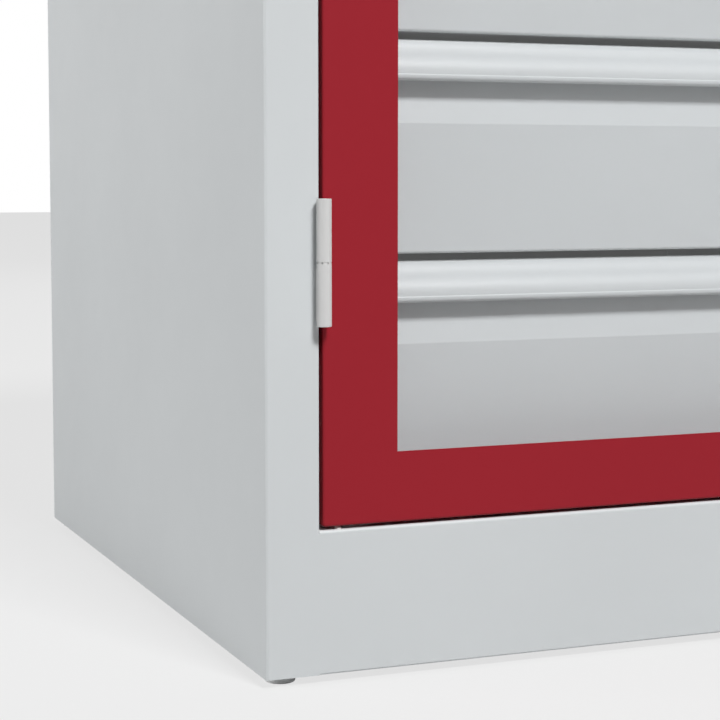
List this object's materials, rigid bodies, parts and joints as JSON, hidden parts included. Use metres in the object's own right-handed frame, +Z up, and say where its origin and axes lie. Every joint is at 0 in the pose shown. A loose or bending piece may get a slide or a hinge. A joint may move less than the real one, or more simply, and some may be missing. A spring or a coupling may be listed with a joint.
{
  "type": "roll front tool cabinet",
  "caption": "Upright steel tool cabinet with a lockable window door hinged on the left, drawers with rolled grips behind it, a tall plinth and levelling feet.",
  "frame": {"origin": "on the floor under the middle of the whole object's box, handle included", "axes": "+Z up, +X towards the cabinet's right side as seen from the front, -Y towards the viewer who faces the door"},
  "size_m": [0.7, 0.63, 1],
  "materials": {
    "light_grey_paint": "fine satin powder coat",
    "red_paint": "fine satin powder coat",
    "hinge_paint": "smooth satin paint",
    "zinc_steel": "zinc plated, satin",
    "polished_steel": "bright",
    "white_plastic": "matte",
    "black_plastic": "fine grained",
    "foot_plastic": "matte",
    "rubber": "matte",
    "clear_pane": "clear acrylic sheet"
  },
  "bodies": {
    "case": {"left_side": "light_grey_paint", "right_side": "light_grey_paint", "plinth_front": "light_grey_paint", "top_rail": "light_grey_paint", "top_panel": "light_grey_paint", "base_panel": "light_grey_paint", "back_panel": "light_grey_paint", "left_runner_wall": "light_grey_paint", "right_runner_wall": "light_grey_paint", "cabinet_runners": "zinc_steel", "runner_screws": "zinc_steel", "foot_nuts": "black_plastic", "hinge_lower_knuckles": "hinge_paint", "hinge_pins": "polished_steel", "hinge_washers": "hinge_paint", "door_glide_pad": "white_plastic", "door_buffers": "rubber"},
    "door": {"door_frame": "red_paint", "window_pane": "clear_pane", "pane_strips": "zinc_steel", "pane_nuts": "zinc_steel", "hinge_upper_knuckles": "hinge_paint", "handle_rosette": "black_plastic", "lock_case": "zinc_steel", "rod_guides": "black_plastic"},
    "handle": {"turn_handle": "black_plastic", "lock_cam": "zinc_steel"},
    "key_cylinder": {"lock_cylinder": "polished_steel"},
    "upper_lock_rod": {"upper_rod": "zinc_steel"},
    "lower_lock_rod": {"lower_rod": "zinc_steel"},
    "drawer_1": {"roll_front_1": "light_grey_paint", "drawer_box_1": "light_grey_paint", "drawer_runners_1": "zinc_steel"},
    "middle_1": {"middle_runners_1": "zinc_steel"},
    "drawer_2": {"roll_front_2": "light_grey_paint", "drawer_box_2": "light_grey_paint", "drawer_runners_2": "zinc_steel"},
    "middle_2": {"middle_runners_2": "zinc_steel"},
    "drawer_3": {"roll_front_3": "light_grey_paint", "drawer_box_3": "light_grey_paint", "drawer_runners_3": "zinc_steel"},
    "middle_3": {"middle_runners_3": "zinc_steel"},
    "drawer_4": {"roll_front_4": "light_grey_paint", "drawer_box_4": "light_grey_paint", "drawer_runners_4": "zinc_steel"},
    "middle_4": {"middle_runners_4": "zinc_steel"},
    "drawer_5": {"roll_front_5": "light_grey_paint", "drawer_box_5": "light_grey_paint", "drawer_runners_5": "zinc_steel"},
    "middle_5": {"middle_runners_5": "zinc_steel"},
    "drawer_6": {"roll_front_6": "light_grey_paint", "drawer_box_6": "light_grey_paint", "drawer_runners_6": "zinc_steel"},
    "middle_6": {"middle_runners_6": "zinc_steel"},
    "foot_front_left": {"foot_front_left": "foot_plastic"},
    "foot_front_right": {"foot_front_right": "foot_plastic"},
    "foot_rear_left": {"foot_rear_left": "foot_plastic"},
    "foot_rear_right": {"foot_rear_right": "foot_plastic"}
  },
  "joints": [
    {"name": "door_swing", "type": "hinge", "parent": "case", "child": "door", "pos_m": [-0.31335, -0.2905, 0.265], "axis": [0, 0, -1], "range_deg": [0, 180]},
    {"name": "handle_turn", "type": "hinge", "parent": "door", "child": "handle", "pos_m": [0.2901, -0.295, 0.5311], "axis": [0, 1, 0], "range_deg": [0, 90]},
    {"name": "cylinder_turn", "type": "hinge", "parent": "handle", "child": "key_cylinder", "pos_m": [0.2901, -0.305, 0.5311], "axis": [0, 1, 0], "range_deg": [0, 90]},
    {"name": "upper_rod_slide", "type": "slide", "parent": "door", "child": "upper_lock_rod", "axis": [0, 0, 1], "range_m": [0, 0.015]},
    {"name": "lower_rod_slide", "type": "slide", "parent": "door", "child": "lower_lock_rod", "axis": [0, 0, -1], "range_m": [0, 0.015]},
    {"name": "drawer_1_slide", "type": "slide", "parent": "case", "child": "drawer_1", "axis": [0, -1, 0], "range_m": [0, 0.45]},
    {"name": "middle_1_slide", "type": "slide", "parent": "case", "child": "middle_1", "axis": [0, -1, 0], "range_m": [0, 0.225]},
    {"name": "drawer_2_slide", "type": "slide", "parent": "case", "child": "drawer_2", "axis": [0, -1, 0], "range_m": [0, 0.45]},
    {"name": "middle_2_slide", "type": "slide", "parent": "case", "child": "middle_2", "axis": [0, -1, 0], "range_m": [0, 0.225]},
    {"name": "drawer_3_slide", "type": "slide", "parent": "case", "child": "drawer_3", "axis": [0, -1, 0], "range_m": [0, 0.45]},
    {"name": "middle_3_slide", "type": "slide", "parent": "case", "child": "middle_3", "axis": [0, -1, 0], "range_m": [0, 0.225]},
    {"name": "drawer_4_slide", "type": "slide", "parent": "case", "child": "drawer_4", "axis": [0, -1, 0], "range_m": [0, 0.45]},
    {"name": "middle_4_slide", "type": "slide", "parent": "case", "child": "middle_4", "axis": [0, -1, 0], "range_m": [0, 0.225]},
    {"name": "drawer_5_slide", "type": "slide", "parent": "case", "child": "drawer_5", "axis": [0, -1, 0], "range_m": [0, 0.45]},
    {"name": "middle_5_slide", "type": "slide", "parent": "case", "child": "middle_5", "axis": [0, -1, 0], "range_m": [0, 0.225]},
    {"name": "drawer_6_slide", "type": "slide", "parent": "case", "child": "drawer_6", "axis": [0, -1, 0], "range_m": [0, 0.45]},
    {"name": "middle_6_slide", "type": "slide", "parent": "case", "child": "middle_6", "axis": [0, -1, 0], "range_m": [0, 0.225]},
    {"name": "foot_front_left_screw", "type": "slide", "parent": "case", "child": "foot_front_left", "axis": [0, 0, -1], "range_m": [0, 0.015]},
    {"name": "foot_front_right_screw", "type": "slide", "parent": "case", "child": "foot_front_right", "axis": [0, 0, -1], "range_m": [0, 0.015]},
    {"name": "foot_rear_left_screw", "type": "slide", "parent": "case", "child": "foot_rear_left", "axis": [0, 0, -1], "range_m": [0, 0.015]},
    {"name": "foot_rear_right_screw", "type": "slide", "parent": "case", "child": "foot_rear_right", "axis": [0, 0, -1], "range_m": [0, 0.015]}
  ],
  "couplings": [
    {"joint": "handle_turn", "follows": "upper_rod_slide", "rad_per_m": 104.72},
    {"joint": "lower_rod_slide", "follows": "upper_rod_slide", "ratio": 1},
    {"joint": "drawer_1_slide", "follows": "door_swing", "m_per_rad": 0.062},
    {"joint": "middle_1_slide", "follows": "door_swing", "m_per_rad": 0.031},
    {"joint": "drawer_2_slide", "follows": "door_swing", "m_per_rad": 0.0496},
    {"joint": "middle_2_slide", "follows": "door_swing", "m_per_rad": 0.0248},
    {"joint": "drawer_3_slide", "follows": "door_swing", "m_per_rad": 0.03844},
    {"joint": "middle_3_slide", "follows": "door_swing", "m_per_rad": 0.01922},
    {"joint": "drawer_4_slide", "follows": "door_swing", "m_per_rad": 0.02852},
    {"joint": "middle_4_slide", "follows": "door_swing", "m_per_rad": 0.01426},
    {"joint": "drawer_5_slide", "follows": "door_swing", "m_per_rad": 0.01984},
    {"joint": "middle_5_slide", "follows": "door_swing", "m_per_rad": 0.00992},
    {"joint": "drawer_6_slide", "follows": "door_swing", "m_per_rad": 0.0124},
    {"joint": "middle_6_slide", "follows": "door_swing", "m_per_rad": 0.0062}
  ]
}
